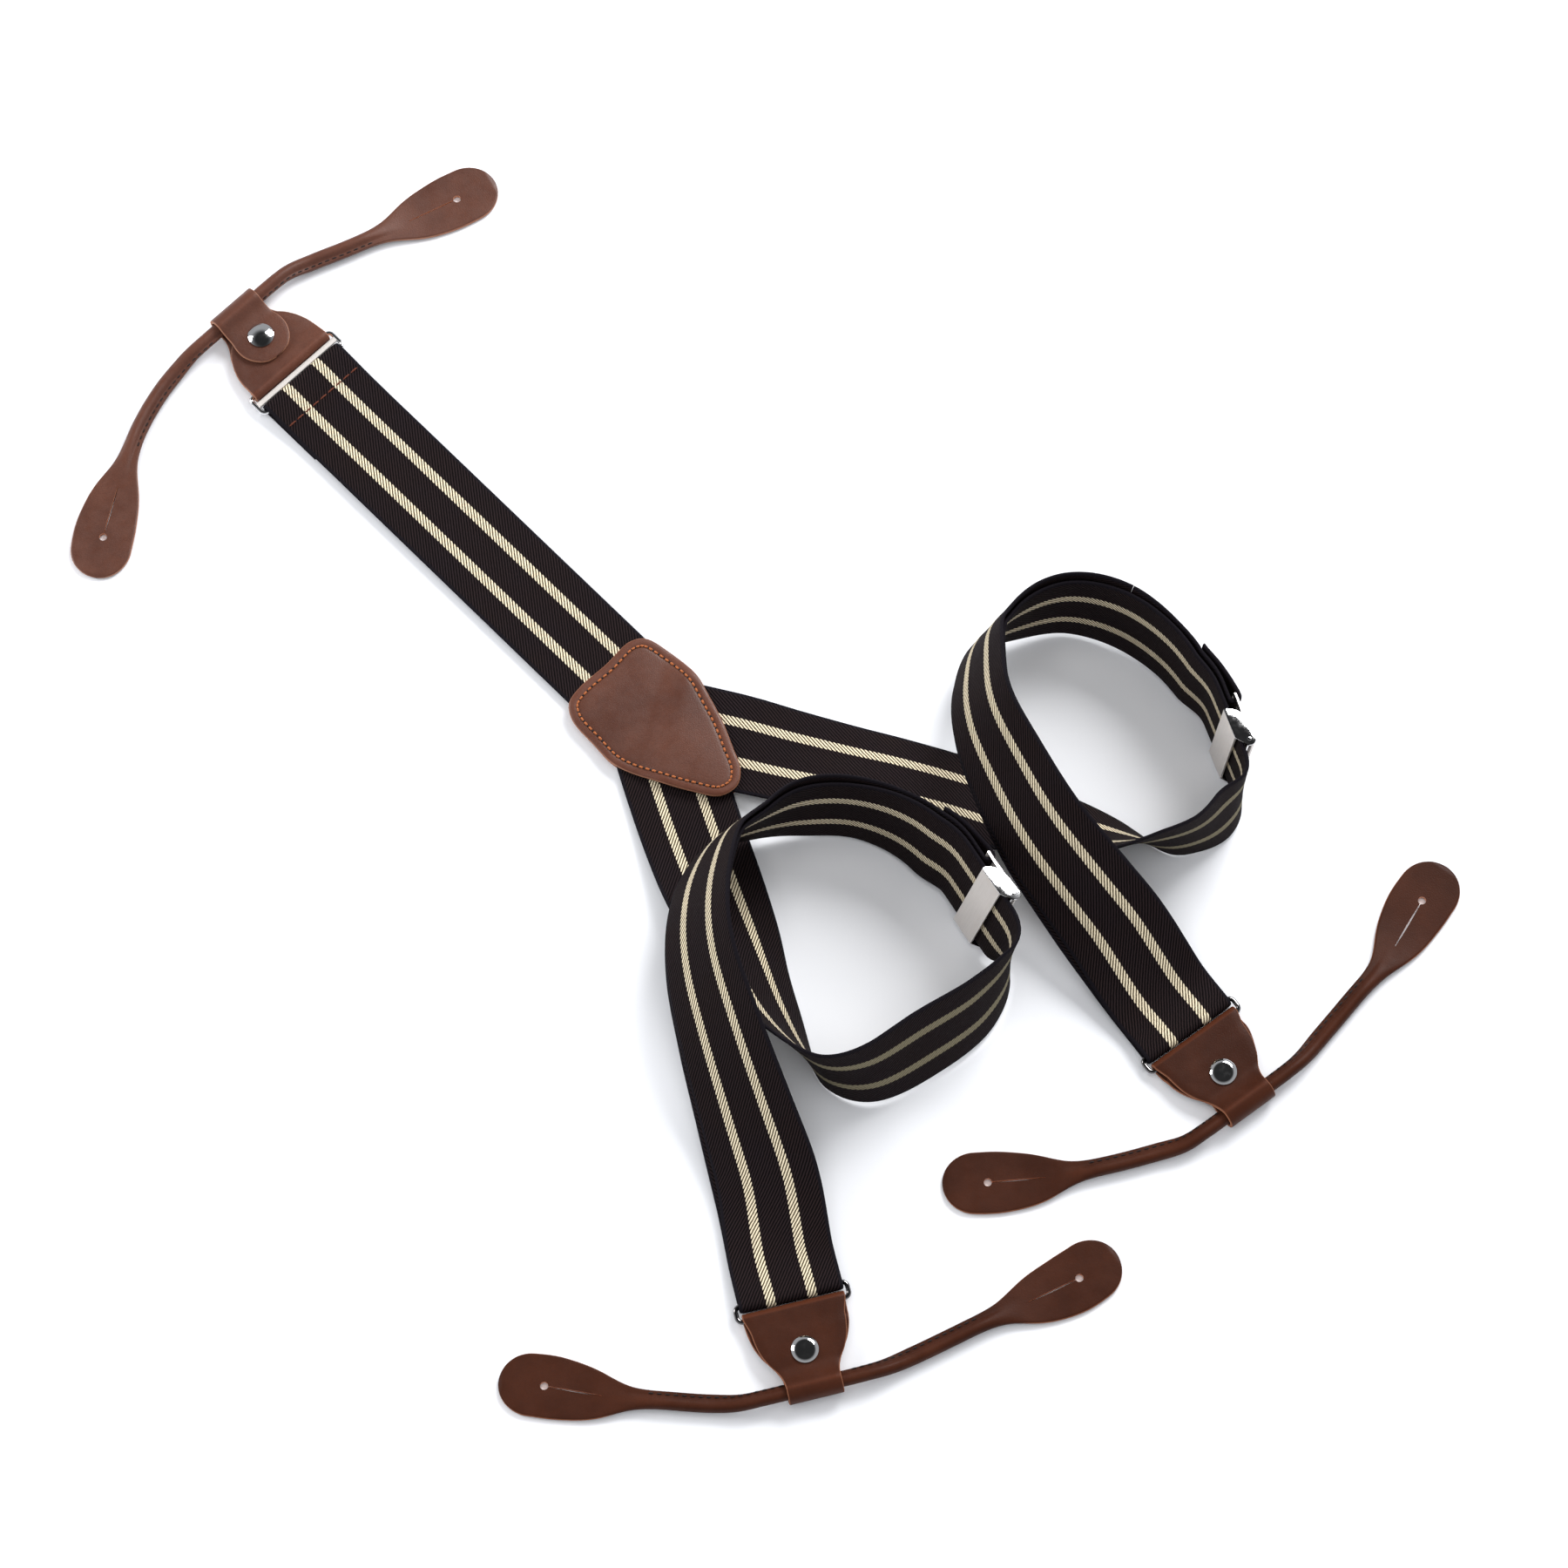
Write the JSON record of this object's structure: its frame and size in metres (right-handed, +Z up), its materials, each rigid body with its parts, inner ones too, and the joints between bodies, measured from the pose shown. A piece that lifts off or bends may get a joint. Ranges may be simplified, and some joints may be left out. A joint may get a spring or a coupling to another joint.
{
  "type": "button suspenders",
  "caption": "Y-back suspenders in striped elastic webbing, with a leather yoke, slide adjusters and ring ends holding rolled leather button cords.",
  "frame": {"origin": "under the middle of the yoke, on the face that the suspenders lie on", "axes": "+Z up from the table; the back strap runs towards -X and +Y, the shoulder straps towards +X and -Y"},
  "size_m": [0.4726, 0.4518, 0.0492],
  "materials": {
    "webbing": "matte diagonal twill with two pale stripes",
    "leather": "smooth, soft sheen",
    "metal": "polished",
    "thread": "twisted thread"
  },
  "bodies": {
    "straps": {"back_strap": "webbing", "rear_seam_thread": "thread", "yoke_bottom_leather": "leather", "yoke_top_leather": "leather", "yoke_stitching": "thread", "right_shoulder_strap": "webbing", "left_shoulder_strap": "webbing"},
    "right_adjuster": {"right_adjuster_frame": "metal", "right_adjuster_pin": "metal", "right_strap_tail": "webbing"},
    "right_lever": {"right_adjuster_lever": "metal"},
    "left_adjuster": {"left_adjuster_frame": "metal", "left_adjuster_pin": "metal", "left_strap_tail": "webbing"},
    "left_lever": {"left_adjuster_lever": "metal"},
    "rear_ring": {"rear_ring": "metal"},
    "rear_saddle": {"rear_saddle": "leather", "rear_rivet_cap": "metal", "rear_rivet_base": "metal"},
    "rear_cord": {"rear_button_cord": "leather"},
    "right_front_ring": {"right_front_ring": "metal"},
    "right_front_saddle": {"right_front_saddle": "leather", "right_front_rivet_cap": "metal", "right_front_rivet_base": "metal"},
    "right_front_cord": {"right_front_button_cord": "leather"},
    "left_front_ring": {"left_front_ring": "metal"},
    "left_front_saddle": {"left_front_saddle": "leather", "left_front_rivet_cap": "metal", "left_front_rivet_base": "metal"},
    "left_front_cord": {"left_front_button_cord": "leather"}
  },
  "joints": [
    {"name": "right_adjuster_slide", "type": "slide", "parent": "straps", "child": "right_adjuster", "axis": [-0.5303, 0.8478, 0], "range_m": [0, 0.006]},
    {"name": "right_lever_hinge", "type": "hinge", "parent": "right_adjuster", "child": "right_lever", "pos_m": [0.11502, -0.07915, 0.01921], "axis": [0.2289, 0.1432, 0.9628], "range_deg": [0, 60]},
    {"name": "left_adjuster_slide", "type": "slide", "parent": "straps", "child": "left_adjuster", "axis": [-0.3334, 0.9428, 0], "range_m": [0, 0.006]},
    {"name": "left_lever_hinge", "type": "hinge", "parent": "left_adjuster", "child": "left_lever", "pos_m": [0.19729, -0.02306, 0.01967], "axis": [0.054, 0.0191, 0.9984], "range_deg": [0, 60]},
    {"name": "rear_ring_hinge", "type": "hinge", "parent": "straps", "child": "rear_ring", "pos_m": [-0.123, 0.124, 0.0028], "axis": [0.7132, 0.7009, 0], "range_deg": [-75, 60]},
    {"name": "rear_saddle_hinge", "type": "hinge", "parent": "rear_ring", "child": "rear_saddle", "pos_m": [-0.12833, 0.12942, 0.0028], "axis": [0.7132, 0.7009, 0], "range_deg": [-60, 60]},
    {"name": "rear_cord_slide", "type": "slide", "parent": "rear_saddle", "child": "rear_cord", "axis": [-0.7132, -0.7009, 0], "range_m": [-0.008, 0.008]},
    {"name": "right_front_ring_hinge", "type": "hinge", "parent": "straps", "child": "right_front_ring", "pos_m": [0.0459, -0.2029, 0.0028], "axis": [-0.9703, -0.2419, 0], "range_deg": [-75, 60]},
    {"name": "right_front_saddle_hinge", "type": "hinge", "parent": "right_front_ring", "child": "right_front_saddle", "pos_m": [0.04721, -0.20814, 0.0028], "axis": [-0.9703, -0.2419, 0], "range_deg": [-60, 60]},
    {"name": "right_front_cord_slide", "type": "slide", "parent": "right_front_saddle", "child": "right_front_cord", "axis": [0.9703, 0.2419, 0], "range_m": [-0.008, 0.008]},
    {"name": "left_front_ring_hinge", "type": "hinge", "parent": "straps", "child": "left_front_ring", "pos_m": [0.1775, -0.1122, 0.0028], "axis": [-0.8039, -0.5948, 0], "range_deg": [-75, 60]},
    {"name": "left_front_saddle_hinge", "type": "hinge", "parent": "left_front_ring", "child": "left_front_saddle", "pos_m": [0.18071, -0.11654, 0.0028], "axis": [-0.8039, -0.5948, 0], "range_deg": [-60, 60]},
    {"name": "left_front_cord_slide", "type": "slide", "parent": "left_front_saddle", "child": "left_front_cord", "axis": [0.8039, 0.5948, 0], "range_m": [-0.008, 0.008]}
  ]
}
